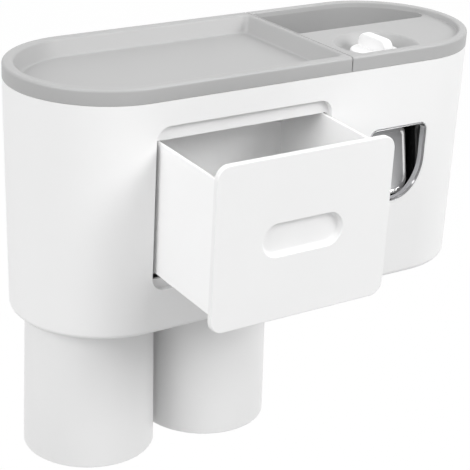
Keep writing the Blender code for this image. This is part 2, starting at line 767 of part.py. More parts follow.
def make_window():
    """Chrome bezel pressed into the window, and the dark liner behind the wall."""
    rim = 1 * MM
    proud = -0.5 * MM
    behind = WALL + GAP
    bezel = (
        (GAP + rim, proud + 0.3 * MM),
        (GAP + rim * 0.7, proud),
        (GAP + rim * 0.3, proud),
        (GAP, proud + 0.3 * MM),
        (GAP, behind + 1 * MM),
        (GAP + rim, behind + 1 * MM),
    )
    window_ring("window_bezel", window_outline, bezel, CHROME)
    outer, flange = 1.2 * MM, 2.6 * MM
    liner = (
        (0, behind),
        (0, TUNNEL_DEPTH),
        (outer, TUNNEL_DEPTH),
        (outer, behind + 1.4 * MM),
        (flange, behind + 1.4 * MM),
        (flange, behind),
    )
    body = window_ring("window_liner", cavity_outline, liner, DARK)
    hole = ((3.3 * MM, CAVITY_TOP - 4 * MM), (3.3 * MM, CAVITY_TOP + 3 * MM))
    cut(body, turned("nozzle_hole", hole, (WINDOW_X, -41 * MM), steps=14))


def squeezer_screw_points():
    foot_x = (CHEEK_X[0] - SQUEEZER_SCREW_X, CHEEK_X[3] + SQUEEZER_SCREW_X)
    return [(x, y) for x in foot_x for y in SQUEEZER_SCREW_Y]


def make_squeezer_body():
    """Two cheeks joined by a top plate and a back plate, on screwed feet."""
    front, back, top = CHEEK_FRONT, CHEEK_BACK, CHEEK_TOP
    foot_z = (BOSS_TOP + GAP, BOSS_TOP + GAP + 2 * MM)
    cheek = [(front, -88 * MM), (SQUEEZER_FOOT_FRONT, -94 * MM), (SQUEEZER_FOOT_FRONT, foot_z[0])]
    cheek += [(back, foot_z[0]), (back, top), (front, top)]
    body = side_prism("squeezer_body", cheek, CHEEK_X[:2], DARK)
    join(body, side_prism("right_cheek", cheek, CHEEK_X[2:]))
    span = (CHEEK_X[0] + 1 * MM, CHEEK_X[3] - 1 * MM)
    inset = 0.2 * MM
    join(body, box("top_plate", span, (front + 0.6 * MM, back - inset), (top - 2 * MM, top - inset)))
    join(body, box("back_plate", span, (0, back - 0.1 * MM), (PUMP_Z - 16 * MM, PUMP_Z + 16 * MM)))
    left_foot = (CHEEK_X[0] - SQUEEZER_FOOT_W, CHEEK_X[0] + 1 * MM)
    right_foot = (CHEEK_X[3] - 1 * MM, CHEEK_X[3] + SQUEEZER_FOOT_W)
    for side, x in (("left", left_foot), ("right", right_foot)):
        y = (SQUEEZER_FOOT_FRONT + inset, back - inset)
        join(body, box("squeezer_foot_" + side, x, y, foot_z))
    valve_hole = ((6.5 * MM, top - 4 * MM), (6.5 * MM, top + 2 * MM))
    cut(body, turned("valve_hole", valve_hole, INLET, steps=16))
    pin_hole = ((PIN_R + GAP, CHEEK_X[0] - 1 * MM), (PIN_R + GAP, CHEEK_X[3] + 1 * MM))
    cut(body, turned("pin_hole", pin_hole, (PIVOT.y, PIVOT.z), axis="X", steps=12))
    for i, point in enumerate(squeezer_screw_points()):
        profile = ((SCREW_R + GAP, foot_z[0] - 1 * MM), (SCREW_R + GAP, foot_z[1] + 1 * MM))
        cut(body, turned(f"squeezer_hole_{i}", profile, point, steps=10))
    make_screws("squeezer_screw_", squeezer_screw_points(), foot_z[1])


def make_hinge_pin():
    start, end = CHEEK_X[0] - 2 * MM, CHEEK_X[3] + GAP
    head = 1.2 * MM
    profile = ((PIN_R, start), (PIN_R, end), (PIN_R + 1.2 * MM, end), (PIN_R + 1.2 * MM, end + head))
    centre = (PIVOT.y, PIVOT.z)
    turned("hinge_pin", profile, centre, STEEL, axis="X", steps=12)
    clip = (CHEEK_X[0] - 1.3 * MM, CHEEK_X[0] - GAP)
    inner, outer = PIN_R + GAP, PIN_R + 1.9 * MM
    profile = ((inner, clip[0]), (outer, clip[0]), (outer, clip[1]), (inner, clip[1]))
    turned("pin_clip", profile, centre, STEEL, axis="X", steps=12, closed=True)


def make_push_plate():
    """A dished plate that hangs from its pivot behind the window, with its foot nearer the front."""
    centre_z = (PLATE_TOP + PLATE_BOTTOM) / 2
    # size against the plate's outline, depth behind its front edge
    face = ((0.25, 3.0), (0.5, 2.6), (0.78, 1.3), (0.93, 0.1), (0.98, 0.0))
    rear = ((1.0, 0.4), (1.0, 2.0), (0.86, 4.2), (0.5, 6.3), (0.25, 6.9))
    base = squeezer_outline(PLATE_HALF, PLATE_TOP, PLATE_BOTTOM, 3 * MM, 8.5 * MM)

    def ring(scale, depth):
        points = []
        for x, z in base:
            height = centre_z + (z - centre_z) * scale
            lean = PLATE_LEAN * (height - centre_z)
            points.append((WINDOW_X + (x - WINDOW_X) * scale, PLATE_Y + lean + depth * MM, height))
        return points

    bm = bmesh.new()
    loft(bm, [ring(*level) for level in face + rear])
    plate = add_object("push_plate", bm, WHITE, PIVOT)
    foot = PLATE_TOP - 3.5 * MM
    arm = [(PIVOT.y - 1 * MM, foot), (PIVOT.y + 0.6 * MM, foot)]
    arm += [(PIVOT.y + 0.6 * MM, PIVOT.z), (PIVOT.y - 1.2 * MM, PIVOT.z)]
    join(plate, side_prism("plate_arm", arm, (WINDOW_X - 13 * MM, WINDOW_X + 13 * MM)))
    half = 18 * MM
    barrel = ((3.2 * MM, WINDOW_X - half), (3.2 * MM, WINDOW_X + half))
    join(plate, turned("plate_barrel", barrel, (PIVOT.y, PIVOT.z), axis="X", steps=24))
    bore = ((PIN_R + GAP, WINDOW_X - half - 1 * MM), (PIN_R + GAP, WINDOW_X + half + 1 * MM))
    cut(plate, turned("plate_bore", bore, (PIVOT.y, PIVOT.z), axis="X", steps=24))


def make_pump():
    centre = (WINDOW_X, PUMP_Z)
    wall_back = PUMP_BACK - 1.6 * MM
    flange_r = PUMP_R + 2.2 * MM
    profile = (
        (PUMP_BORE, wall_back),
        (PUMP_BORE, PUMP_FRONT),
        (PUMP_R, PUMP_FRONT),
        (PUMP_R, PUMP_BACK - 2 * MM),
        (flange_r, PUMP_BACK - 2 * MM),
        (flange_r, PUMP_BACK),
    )
    cylinder = turned("pump_cylinder", profile, centre, SILICONE, axis="Y")
    for name, x, y in (("feed_port", -5.9 * MM, -12 * MM), ("outlet_port", 7.1 * MM, -6 * MM)):
        port = ((1.6 * MM, PUMP_Z + 4 * MM), (1.6 * MM, PUMP_Z + 14 * MM))
        cut(cylinder, turned(name, port, (WINDOW_X + x, y), steps=10))

    nose, rod_r = -31.3 * MM, 3 * MM
    head = (-22.5 * MM, -17 * MM)
    profile = [(rod_r * math.sin(a), nose + rod_r * (1 - math.cos(a))) for a in (0.25, 0.7, 1.15)]
    head_r = 8.8 * MM
    profile += [(rod_r, nose + rod_r), (rod_r, head[0]), (head_r, head[0]), (head_r, head[0] + 1.2 * MM)]
    profile += [(7.6 * MM, head[0] + 1.2 * MM), (7.6 * MM, head[1])]
    origin = (WINDOW_X, nose, PUMP_Z)
    turned("piston", profile, centre, DARK, axis="Y", steps=20, origin=origin)
    seal = (head[0] + 1.2 * MM + GAP, head[1] - GAP)
    inner, outer = 7.9 * MM, 8.9 * MM
    profile = ((inner, seal[0]), (outer, seal[0]), (outer, seal[1]), (inner, seal[1]))
    turned("piston_seal", profile, centre, RUBBER, axis="Y", steps=20, origin=origin, closed=True)

    wire, coil_r, turns, per_turn = 0.5 * MM, 6.2 * MM, 5, 10
    start, end = head[1] + GAP + wire, wall_back - GAP - wire
    route = []
    for i in range(turns * per_turn + 1):
        angle = 2 * math.pi * i / per_turn
        y = start + (end - start) * i / (turns * per_turn)
        route.append((WINDOW_X + coil_r * math.cos(angle), y, PUMP_Z + coil_r * math.sin(angle)))
    pitch = (end - start) / turns
    print("return spring: least gap between turns", round((pitch - 2 * wire) / MM, 2), "mm")
    spring = tube("return_spring", route, wire, STEEL)
    spring.data.bevel_resolution = 1


def make_toothpaste_path():
    """Socket for the tube's neck, one-way valve, feed hose and outlet hose."""
    top = DISH_FLOOR - 2 * MM - 0.4 * MM
    bore = 6.5 * MM
    lower = -19.7 * MM
    neck, brim = 8.5 * MM, 13 * MM
    profile = ((bore, top), (brim, top), (brim, top - 1.8 * MM), (neck, top - 3.6 * MM), (neck, lower))
    profile += ((bore - 3 * MM, lower), (bore - 3 * MM, lower + 1 * MM), (bore, lower + 1.4 * MM))
    turned("inlet_socket", profile, INLET, SILICONE, steps=20, closed=True)
    start, end = -20 * MM, -32.5 * MM
    profile = ((1.6 * MM, start), (7.5 * MM, start), (7.5 * MM, start - 2 * MM), (5.5 * MM, start - 2 * MM))
    profile += ((5.5 * MM, end + 1.5 * MM), (3.4 * MM, end), (1.6 * MM, end))
    turned("check_valve", profile, INLET, SILICONE, steps=16, closed=True)
    x, y = INLET.x, INLET.y
    pump_x = WINDOW_X
    feed = ((x, y, end - GAP), (x, y, -38 * MM), (pump_x - 2.2 * MM, -20 * MM, -46 * MM))
    feed += ((pump_x - 5.1 * MM, -13.5 * MM, -53 * MM), (pump_x - 5.9 * MM, -12 * MM, -58.9 * MM))
    tube("feed_hose", smooth_route(feed, 5), 3 * MM, SILICONE)
    side = pump_x + 10.1 * MM
    outlet = ((pump_x + 7.1 * MM, -6 * MM, -59.4 * MM), (pump_x + 9.1 * MM, -8 * MM, -50 * MM))
    outlet += ((side, -14 * MM, -42 * MM), (side, -24 * MM, -38 * MM))
    outlet += ((pump_x + 7.6 * MM, -33 * MM, -37.4 * MM),)
    outlet += ((pump_x + 2 * MM, -39.8 * MM, -37.4 * MM), (pump_x, -41 * MM, -40.5 * MM))
    outlet += ((pump_x, -41 * MM, -45.5 * MM),)
    tube("outlet_nozzle", smooth_route(outlet, 4), 2.2 * MM, SILICONE)


# Cups and magnets


def make_cups():
    boss = MAGNET_R + 2.4 * MM
    pocket_r = MAGNET_R + GAP
    pocket_d = 4.5 * MM
    skin = 1.3 * MM
    base_t = 2.2 * MM
    edge = 2 * MM
    for side, x in CUP_X.items():
        profile = (
            (pocket_r, CUP_BASE - pocket_d),
            (pocket_r, CUP_BASE),
            (CUP_BASE_R - edge, CUP_BASE),
            (CUP_BASE_R - 0.6 * MM, CUP_BASE - 0.6 * MM),
            (CUP_BASE_R, CUP_BASE - edge),
            (CUP_MOUTH_R, CUP_MOUTH + 0.8 * MM),
            (CUP_MOUTH_R - 0.4 * MM, CUP_MOUTH),
            (CUP_MOUTH_R - CUP_WALL + 0.4 * MM, CUP_MOUTH),
            (CUP_MOUTH_R - CUP_WALL, CUP_MOUTH + 0.8 * MM),
            (CUP_BASE_R - CUP_WALL, CUP_BASE - base_t - 3 * MM),
            (CUP_BASE_R - CUP_WALL - 2 * MM, CUP_BASE - base_t),
            (boss, CUP_BASE - base_t),
            (boss, CUP_BASE - pocket_d - skin),
        )
        turned("cup_" + side, profile, (x, 0), WHITE, steps=36, origin=(x, 0, CUP_BASE))
        deep = CUP_BASE - pocket_d + GAP
        magnet_t = 2.6 * MM
        disc("cup_magnet_" + side, MAGNET_R, (deep, deep + magnet_t), x, STEEL)
        disc("cup_magnet_cap_" + side, MAGNET_R, (deep + magnet_t + GAP, CUP_BASE), x, WHITE)
        inside = HOUSING_BOTTOM + FLOOR + GAP
        disc("housing_magnet_" + side, MAGNET_R, (inside, inside + magnet_t), x, STEEL)
        cap = inside + magnet_t + GAP
        disc("magnet_retainer_" + side, MAGNET_R, (cap, cap + 1.3 * MM), x, WHITE_SATIN)


def disc(name, radius, z, x, look):
    edge = 0.2 * MM
    profile = ((radius - edge, z[0]), (radius, z[0] + edge), (radius, z[1] - edge), (radius - edge, z[1]))
    turned(name, profile, (x, 0), look, steps=20, origin=(x, 0, z[1]))


clear_scene()
make_wall_mount()
make_housing(cradle_screw_points() + squeezer_screw_points())
make_bumpers()
make_tray()
make_deck()
make_plug()
make_drawer_front()
make_drawer_box()
make_cradle()
make_window()
make_squeezer_body()
make_hinge_pin()
make_push_plate()
make_pump()
make_toothpaste_path()
make_cups()
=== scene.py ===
"""Looks of a wall-hung toothpaste dispenser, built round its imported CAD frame.

Lengths are in metres. Shapes are written in the housing's own frame, whose origin is the middle of its rim.
"""

import math

import bmesh
import bpy
from mathutils import Matrix, Vector


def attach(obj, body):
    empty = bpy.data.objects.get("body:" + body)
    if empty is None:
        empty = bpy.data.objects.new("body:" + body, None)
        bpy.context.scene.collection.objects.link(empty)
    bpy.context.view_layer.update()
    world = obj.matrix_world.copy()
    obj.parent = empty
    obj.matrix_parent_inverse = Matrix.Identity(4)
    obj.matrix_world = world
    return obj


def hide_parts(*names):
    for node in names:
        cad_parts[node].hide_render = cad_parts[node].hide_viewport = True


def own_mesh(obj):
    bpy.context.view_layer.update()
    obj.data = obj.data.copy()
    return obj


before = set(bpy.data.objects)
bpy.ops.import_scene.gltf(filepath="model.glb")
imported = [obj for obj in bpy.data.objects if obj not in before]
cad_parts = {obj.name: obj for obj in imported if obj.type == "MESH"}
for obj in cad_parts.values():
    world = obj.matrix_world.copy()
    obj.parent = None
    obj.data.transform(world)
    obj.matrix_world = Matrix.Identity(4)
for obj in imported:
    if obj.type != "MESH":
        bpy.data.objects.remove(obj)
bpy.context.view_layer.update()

MM = 0.001
GAP = 0.3 * MM

# Housing and rim
LENGTH = 270 * MM
DEPTH = 99.4 * MM
END_R = DEPTH / 2
HALF_STRAIGHT = LENGTH / 2 - END_R
HOUSING_TOP = -8.1 * MM
HOUSING_BOTTOM = -130.4 * MM
WALL = 2.2 * MM
FLOOR = 2.4 * MM
FOOT_R = 3 * MM
DRAFT = 0.016
ARC_STEPS = 72
CIRCLE_STEPS = 96
OUTSIDE = -2 * MM  # where cutters through the front wall begin
FINE_TURN = (0, 0.26, 0.52, 0.79, 1.05, 1.31, 1.5708)  # steps of a quarter turn, in radians
TURN = (0, 0.4, 0.8, 1.2, 1.5708)
COARSE_TURN = (0, 0.5, 1.0, 1.5708)
HOUSING_MIDDLE = Vector((0, -53 * MM, 52 * MM))

# Split between the tray and the deck
SPLIT_X = 31.5 * MM
SPLIT_GAP = 0.15 * MM
DECK_Z = -3 * MM
INLET = Vector((66 * MM, -24.4 * MM, 0))
DISH_R = 23.6 * MM
DISH_FLOOR = -9.8 * MM
POCKET_BOTTOM = -62 * MM

# Drawer
SLOPE = math.radians(2.4)
DIP = math.tan(SLOPE)
DRAWER_OUT = 52.2 * MM
SHIFT = Vector((0, -DRAWER_OUT, -DRAWER_OUT * DIP))
DRAWER_X = -31.4 * MM
PANEL_W = 102.6 * MM
PANEL_TOP = -21.4 * MM
PANEL_BOTTOM = -106.4 * MM
PANEL_T = 3 * MM
PANEL_R = 7 * MM
RECESS_GAP = 0.5 * MM
MOUTH_HALF = PANEL_W / 2 + RECESS_GAP - 0.7 * MM
MOUTH_TOP, MOUTH_BOTTOM = -28.5 * MM, -101.5 * MM
MOUTH_R = 1.5 * MM
BOX_W = 99 * MM
BOX_WALL = 1.5 * MM
BOX_LENGTH = 88 * MM
BOX_TOP = -28.9 * MM
BOX_H = 69 * MM
STOP_LUG_Y = 67 * MM
CRADLE_FEET = [(DRAWER_X + x, y) for x in (-45 * MM, 45 * MM) for y in (-26 * MM, 26 * MM)]
SCOOP_X = -32 * MM
SCOOP_Z = -64.1 * MM
SCOOP_HALF_L = 23.3 * MM
SCOOP_HALF_H = 8.6 * MM
SCOOP_DEPTH = 3.2 * MM
SCOOP_BACK = 6.2 * MM
SCOOP_WALL = 0.8 * MM

# Squeezer window
WINDOW_X = 66.4 * MM
WINDOW_W = 38 * MM
WINDOW_TOP = -42.3 * MM
WINDOW_BOTTOM = -84.8 * MM
WINDOW_CORNER = 4.5 * MM
WINDOW_STRAIGHT = -62 * MM
TUNNEL_DEPTH = 13.5 * MM
CAVITY_HALF = 19.6 * MM
CAVITY_TOP = -41.7 * MM
CAVITY_BOTTOM = -87.6 * MM
PLATE_HALF = 16.2 * MM
PLATE_TOP = -49 * MM
PLATE_BOTTOM = -84.6 * MM
PLATE_Y = -37.9 * MM
PLATE_LEAN = 0.18
PIVOT = Vector((WINDOW_X, -33 * MM, -46 * MM))
PIN_R = 1.5 * MM
SQUEEZER_FEET = [(x, y) for x in (36.2 * MM, 96.6 * MM) for y in (-24 * MM, -5 * MM)]
PUMP_Z = -70 * MM

# Cups
CUP_X = {"left": -92.3 * MM, "right": -21.0 * MM}
CUP_BASE = HOUSING_BOTTOM - GAP
CUP_MOUTH = -208.9 * MM
CUP_BASE_R = 33.5 * MM
CUP_MOUTH_R = 34.8 * MM
CUP_WALL = 1.6 * MM
MAGNET_R = 7.7 * MM

# Wall mount
PAD_T = 0.8 * MM
PLATE_W, PLATE_H = 72 * MM, 62 * MM
PLATE_FRONT = 3.0 * MM
MOUNT_MIDDLE = -52 * MM
WALL_Y = PLATE_FRONT + GAP + END_R
HOOK_X, HOOK_W = 22 * MM, 12 * MM
HOOK_TOP = -38 * MM
BUMPER_Z = -118 * MM
BUMPER_X = {"left": -78 * MM, "right": 78 * MM}


# Mesh helpers


def new_object(name, bm):
    bmesh.ops.translate(bm, verts=bm.verts, vec=HOUSING_MIDDLE)
    bmesh.ops.recalc_face_normals(bm, faces=bm.faces)
    mesh = bpy.data.meshes.new(name)
    bm.to_mesh(mesh)
    bm.free()
    obj = bpy.data.objects.new(name, mesh)
    bpy.context.scene.collection.objects.link(obj)
    return obj


def loft(bm, rings, closed=False):
    made = [[bm.verts.new(point) for point in ring] for ring in rings]
    pairs = list(zip(made, made[1:]))
    if closed:
        pairs.append((made[-1], made[0]))
    for low, high in pairs:
        for i in range(len(low)):
            j = (i + 1) % len(low)
            bm.faces.new((low[i], low[j], high[j], high[i]))
    if not closed:
        bm.faces.new(made[0])
        bm.faces.new(made[-1])


def lofted(name, rings, closed=False):
    bm = bmesh.new()
    loft(bm, rings, closed)
    return new_object(name, bm)


def cut(target, *cutters):
    for cutter in cutters:
        boolean(target, cutter, "DIFFERENCE")


def join(target, *extras):
    for extra in extras:
        boolean(target, extra, "UNION")


def boolean(target, helper, operation):
    modifier = target.modifiers.new(operation.lower(), "BOOLEAN")
    modifier.operation = operation
    modifier.solver = "EXACT"
    modifier.object = helper


def settle(obj, angle=32, bevel=0, flat=False):
    """Applies the modifiers, removes their helpers, rounds sharp edges a little and shades smooth.

    With flat, wide faces keep their own normals, so that they shade evenly beside cuts and small roundings.
    """
    helpers = [m.object for m in obj.modifiers if m.type == "BOOLEAN"]
    if bevel:
        rounding = obj.modifiers.new("edges", "BEVEL")
        rounding.width = bevel
        rounding.segments = 2
        rounding.limit_method = "ANGLE"
        rounding.angle_limit = math.radians(40)
        rounding.miter_outer = "MITER_ARC"
    bpy.context.view_layer.update()
    graph = bpy.context.evaluated_depsgraph_get()
    mesh = bpy.data.meshes.new_from_object(obj.evaluated_get(graph))
    obj.modifiers.clear()
    obj.data = mesh
    mesh.name = obj.name
    for helper in helpers:
        bpy.data.objects.remove(helper, do_unlink=True)
    mesh.shade_smooth()
    mesh.set_sharp_from_angle(angle=math.radians(angle))
    if flat:
        weighted = obj.modifiers.new("flat_faces", "WEIGHTED_NORMAL")
        weighted.keep_sharp = True
        weighted.weight = 90
    return obj


def arc(cx, cy, radius, start, end, steps):
    angles = [math.radians(start + (end - start) * i / steps) for i in range(steps + 1)]
    return [(cx + radius * math.cos(a), cy + radius * math.sin(a)) for a in angles]


def circle(cx, cy, radius, steps=CIRCLE_STEPS):
    return arc(cx, cy, radius, 0, 360 - 360 / steps, steps - 1)


def rounded_rectangle(x0, x1, y0, y1, radius, steps=8):
    corners = ((x1, y1, -1, -1, 0), (x0, y1, 1, -1, 90), (x0, y0, 1, 1, 180), (x1, y0, -1, 1, 270))
    points = []
    for x, y, sx, sy, angle in corners:
        points += arc(x + sx * radius, y + sy * radius, radius, angle, angle + 90, steps)
    return points


def stadium(radius):
    right = arc(HALF_STRAIGHT, 0, radius, -90, 90, ARC_STEPS)
    left = arc(-HALF_STRAIGHT, 0, radius, 90, 270, ARC_STEPS)
    return right + left


def half_plan(radius, flat_x, corner, side):
    """The plan of the tray (side -1) or the deck (side 1): one round end and one flat end with corners."""
    end = arc(HALF_STRAIGHT, 0, radius, -90, 90, ARC_STEPS)
    if side < 0:
        end = [(-x, -y) for x, y in end]
    inner = flat_x + side * corner
    back = arc(inner, radius - corner, corner, 90, 90 + side * 90, 8)
    front = arc(inner, -radius + corner, corner, 90 + side * 90, 90 + side * 180, 8)
    if side > 0:
        return end + back + front
    return end + front[::-1] + back[::-1]


def quarter_round(radius, turn):
    """Pairs of inset and drop along a rounded edge, from its face to its side."""
    return [(radius * (1 - math.sin(a)), radius * (1 - math.cos(a))) for a in turn]


def at_height(outline, z):
    return [(x, y, z) for x, y in outline]


def wall_y(z):
    return -END_R + DRAFT * (HOUSING_TOP - z)


def at_depth(outline, depth):
    return [(x, wall_y(z) + depth, z) for x, z in outline]


def rounded_path(points, steps=6):
    """A polyline of (u, v, radius) whose corners are turned into arcs."""
    path = []
    for i, (u, v, radius) in enumerate(points):
        if radius == 0 or i in (0, len(points) - 1):
            path.append((u, v))
            continue
        here = Vector((u, v))
        before = Vector(points[i - 1][:2]) - here
        after = Vector(points[i + 1][:2]) - here
        half = before.angle(after) / 2
        reach = min(radius / math.tan(half), before.length * 0.98, after.length * 0.98)
        start, end = here + before.normalized() * reach, here + after.normalized() * reach
        r = reach * math.tan(half)
        centre = here + (before.normalized() + after.normalized()).normalized() * (r / math.sin(half))
        a = start - centre
        b = end - centre
        sweep = a.angle_signed(b)
        for k in range(steps + 1):
            turned_by = Matrix.Rotation(-sweep * k / steps, 2) @ a
            path.append(tuple(centre + turned_by))
    return path


def between(value, xs, ys):
    """Straight-line interpolation in a table."""
    if value <= xs[0]:
        return ys[0]
    for i in range(1, len(xs)):
        if value <= xs[i]:
            share = (value - xs[i - 1]) / (xs[i] - xs[i - 1])
            return ys[i - 1] + share * (ys[i] - ys[i - 1])
    return ys[-1]


def turned(name, profile, centre, axis="Z", steps=CIRCLE_STEPS):
    rings = []
    for radius, along in profile:
        points = circle(0, 0, radius, steps)
        if axis == "Z":
            ring = [(centre[0] + u, centre[1] + v, along) for u, v in points]
        elif axis == "Y":
            ring = [(centre[0] + u, along, centre[1] + v) for u, v in points]
        else:
            ring = [(along, centre[0] + u, centre[1] + v) for u, v in points]
        rings.append(ring)
    return lofted(name, rings)


def box(name, x, y, z):
    base = [(x[0], y[0]), (x[1], y[0]), (x[1], y[1]), (x[0], y[1])]
    return lofted(name, [at_height(base, z[0]), at_height(base, z[1])])


def side_prism(name, outline, x):
    return lofted(name, [[(x[0], *point) for point in outline], [(x[1], *point) for point in outline]])


# Materials


def plastic(name, colour, roughness, grain=900, bump=0.02, spread=0.012, metallic=0.0):
    """Moulded plastic: a fine grain in the surface, and a colour and a gloss that drift a little."""
    material = bpy.data.materials.new(name)
    material.use_nodes = True
    nodes, links = material.node_tree.nodes, material.node_tree.links
    shader = nodes["Principled BSDF"]
    shader.inputs["Metallic"].default_value = metallic
    place = nodes.new("ShaderNodeTexCoord")
    drift = nodes.new("ShaderNodeTexNoise")
    drift.inputs["Scale"].default_value = 9
    drift.inputs["Detail"].default_value = 3
    links.new(place.outputs["Object"], drift.inputs["Vector"])
    tint = nodes.new("ShaderNodeValToRGB")
    low = [max(c - spread, 0) for c in colour]
    high = [min(c + spread, 1) for c in colour]
    tint.color_ramp.elements[0].position = 0.3
    tint.color_ramp.elements[0].color = (*low, 1)
    tint.color_ramp.elements[1].position = 0.7
    tint.color_ramp.elements[1].color = (*high, 1)
    links.new(drift.outputs["Fac"], tint.inputs["Fac"])
    links.new(tint.outputs["Color"], shader.inputs["Base Color"])
    gloss = nodes.new("ShaderNodeMapRange")
    gloss.inputs["From Min"].default_value = 0.3
    gloss.inputs["From Max"].default_value = 0.7
    gloss.inputs["To Min"].default_value = max(roughness - 0.03, 0.02)
    gloss.inputs["To Max"].default_value = roughness + 0.03
    links.new(drift.outputs["Fac"], gloss.inputs["Value"])
    links.new(gloss.outputs["Result"], shader.inputs["Roughness"])
    fine = nodes.new("ShaderNodeTexNoise")
    fine.inputs["Scale"].default_value = grain
    fine.inputs["Detail"].default_value = 2
    links.new(place.outputs["Object"], fine.inputs["Vector"])
    relief = nodes.new("ShaderNodeBump")
    relief.inputs["Strength"].default_value = bump
    relief.inputs["Distance"].default_value = 0.0002
    links.new(fine.outputs["Fac"], relief.inputs["Height"])
    links.new(relief.outputs["Normal"], shader.inputs["Normal"])
    return material


WHITE = plastic("white_shell", (0.86, 0.86, 0.86), 0.38)
CUP_WHITE = plastic("white_cup", (0.80, 0.80, 0.80), 0.34)
BIN_WHITE = plastic("white_drawer", (0.93, 0.93, 0.93), 0.42)
PLUG_WHITE = plastic("white_plug", (0.88, 0.88, 0.88), 0.35)
GREY = plastic("grey_cover", (0.412, 0.412, 0.412), 0.44, grain=1300, bump=0.05)
CHROME = plastic("chrome", (0.93, 0.93, 0.94), 0.04, metallic=1.0, bump=0.0, spread=0.01)
# Chrome darkened: a painted dark reflection on the bezel's outer lip.
DARK_REFLECTION_CHROME = plastic("chrome_painted_dark_reflection", (0.26, 0.26, 0.265), 0.16, metallic=1.0, bump=0.0, spread=0.01)
# White plastic made brighter and half metallic: a painted highlight on the push plate, seen on its rim.
HIGHLIGHT_PAINTED_WHITE = plastic("white_painted_highlight", (0.96, 0.96, 0.96), 0.25, metallic=0.6, bump=0.0, spread=0.005)
# White plastic painted grey: painted shade on the push plate's dished face, deep in the window.
SHADE_PAINTED_GREY = plastic("grey_painted_shade", (0.48, 0.48, 0.49), 0.5, bump=0.03)
STEEL = plastic("drawn_steel", (0.60, 0.60, 0.62), 0.28, metallic=1.0, grain=400, bump=0.04)
BLACK = plastic("black_gloss", (0.012, 0.012, 0.013), 0.12, bump=0.01, spread=0.002)
RUBBER = plastic("dark_rubber", (0.10, 0.10, 0.105), 0.7, bump=0.12)
SILICONE = plastic("milky_silicone", (0.62, 0.64, 0.66), 0.45, bump=0.04)
MILKY = plastic("milky_plastic", (0.70, 0.72, 0.74), 0.35, bump=0.02)
FOAM = plastic("pad_foam", (0.68, 0.70, 0.70), 0.85, grain=500, bump=0.3)


def dress(obj, material, body, replaced):
    """Gives a piece its material and its body, and hides the CAD node it stands for."""
    obj.data.materials.clear()
    obj.data.materials.append(material)
    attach(obj, body)
    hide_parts(replaced)


def second_material(obj, material, chosen):
    """Gives a second material to the faces whose middle passes the test."""
    obj.data.materials.append(material)
    for face in obj.data.polygons:
        if chosen(face.center - HOUSING_MIDDLE):
            face.material_index = 1


# Housing


def growing(cutter_sections, shape):
    """Rings of an outline that grows, from pairs of growth and depth."""
    return [at_depth(shape(grow), depth) for grow, depth in cutter_sections]


def recess_outline(grow):
    half = PANEL_W / 2 + RECESS_GAP + grow
    low, high = PANEL_BOTTOM - RECESS_GAP - grow, PANEL_TOP + RECESS_GAP + grow
    return rounded_rectangle(DRAWER_X - half, DRAWER_X + half, low, high, PANEL_R + 0.5 * MM + grow)


def mouth_outline(grow):
    half = MOUTH_HALF + grow
    low, high = MOUTH_BOTTOM - grow, MOUTH_TOP + grow
    return rounded_rectangle(DRAWER_X - half, DRAWER_X + half, low, high, MOUTH_R + grow)


def window_outline(inset):
    half = WINDOW_W / 2 - inset
    top = WINDOW_TOP - inset
    corner = max(WINDOW_CORNER - inset, 1 * MM)
    points = arc(WINDOW_X + half - corner, top - corner, corner, 0, 90, 10)
    points += arc(WINDOW_X - half + corner, top - corner, corner, 90, 180, 10)
    drop = WINDOW_STRAIGHT - WINDOW_BOTTOM - inset
    steps = 56
    for i in range(steps + 1):
        angle = math.pi * (1 + i / steps)
        points.append((WINDOW_X + half * math.cos(angle), WINDOW_STRAIGHT + drop * math.sin(angle)))
    return points


def squeezer_outline(half, top, bottom, top_r, low_r):
    """An upright outline about the squeezer's middle, with its own top and bottom corners."""
    steps = 14
    points = arc(WINDOW_X + half - top_r, top - top_r, top_r, 0, 90, steps)
    points += arc(WINDOW_X - half + top_r, top - top_r, top_r, 90, 180, steps)
    points += arc(WINDOW_X - half + low_r, bottom + low_r, low_r, 180, 270, steps)
    points += arc(WINDOW_X + half - low_r, bottom + low_r, low_r, 270, 360, steps)
    return points


def cavity_outline(grow):
    top_r, low_r = 5.1 * MM + grow, 8 * MM + grow
    return squeezer_outline(CAVITY_HALF + grow, CAVITY_TOP + grow, CAVITY_BOTTOM - grow, top_r, low_r)


def posts(name, points, radius, low, high, steps=24):
    bm = bmesh.new()
    for x, y in points:
        loft(bm, [at_height(circle(x, y, radius, steps), z) for z in (low, high)])
    return new_object(name, bm)


